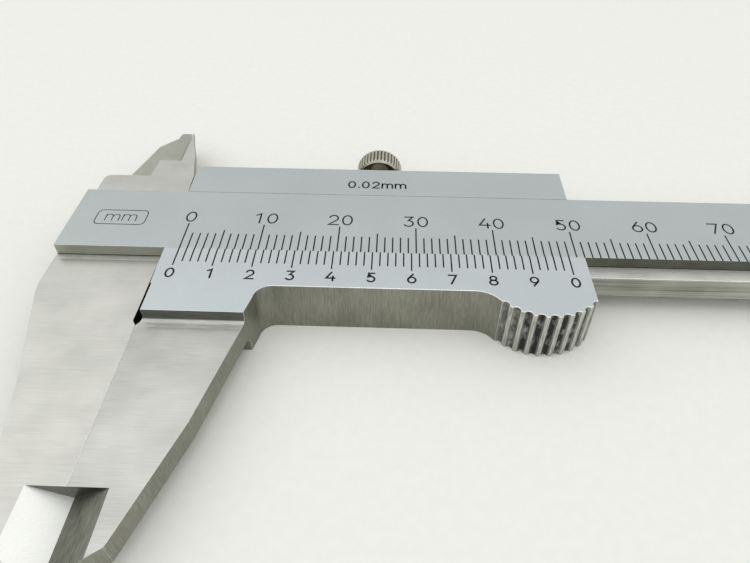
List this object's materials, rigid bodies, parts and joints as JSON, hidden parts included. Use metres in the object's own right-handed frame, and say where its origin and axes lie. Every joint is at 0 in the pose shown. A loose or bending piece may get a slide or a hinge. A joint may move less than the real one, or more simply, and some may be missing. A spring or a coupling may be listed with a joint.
{
  "type": "vernier caliper",
  "caption": "Vernier caliper with outside jaws, crossed inside jaws, depth rod, knurled lock screw and a ribbed thumb grip; the slide runs along the beam.",
  "frame": {"origin": "on the slide's back plane, under the main scale's zero line and the line where main scale and vernier meet", "axes": "+X along the beam in the opening direction, +Y across it away from the outside jaws, +Z out of the scale faces"},
  "size_m": [0.2324, 0.073, 0.0073],
  "materials": {
    "satin_steel": "satin chromed scale faces, ground jaws",
    "spring_steel": "drawn, dull",
    "plated_screw": "nickel plated, straight knurl",
    "brass": "turned"
  },
  "bodies": {
    "beam": {"beam": "satin_steel", "end_stop": "spring_steel", "end_stop_screws": "spring_steel"},
    "slide": {"slide": "satin_steel", "gib": "spring_steel", "gib_screws": "spring_steel", "depth_rod": "spring_steel", "rod_rivets": "spring_steel"},
    "lock_pad": {"lock_pad": "brass"},
    "lock_screw": {"lock_screw": "plated_screw"}
  },
  "joints": [
    {"name": "slide_travel", "type": "slide", "parent": "beam", "child": "slide", "axis": [1, 0, 0], "range_m": [0, 0.152]},
    {"name": "lock_advance", "type": "slide", "parent": "slide", "child": "lock_pad", "axis": [0, 1, 0], "range_m": [0, 0.00075]},
    {"name": "lock_turn", "type": "hinge", "parent": "lock_pad", "child": "lock_screw", "pos_m": [0.0247, 0.02045, 0.0039], "axis": [0, 1, 0], "range_deg": [0, 540]}
  ],
  "couplings": [
    {"joint": "lock_turn", "follows": "lock_advance", "rad_per_m": 12566}
  ]
}
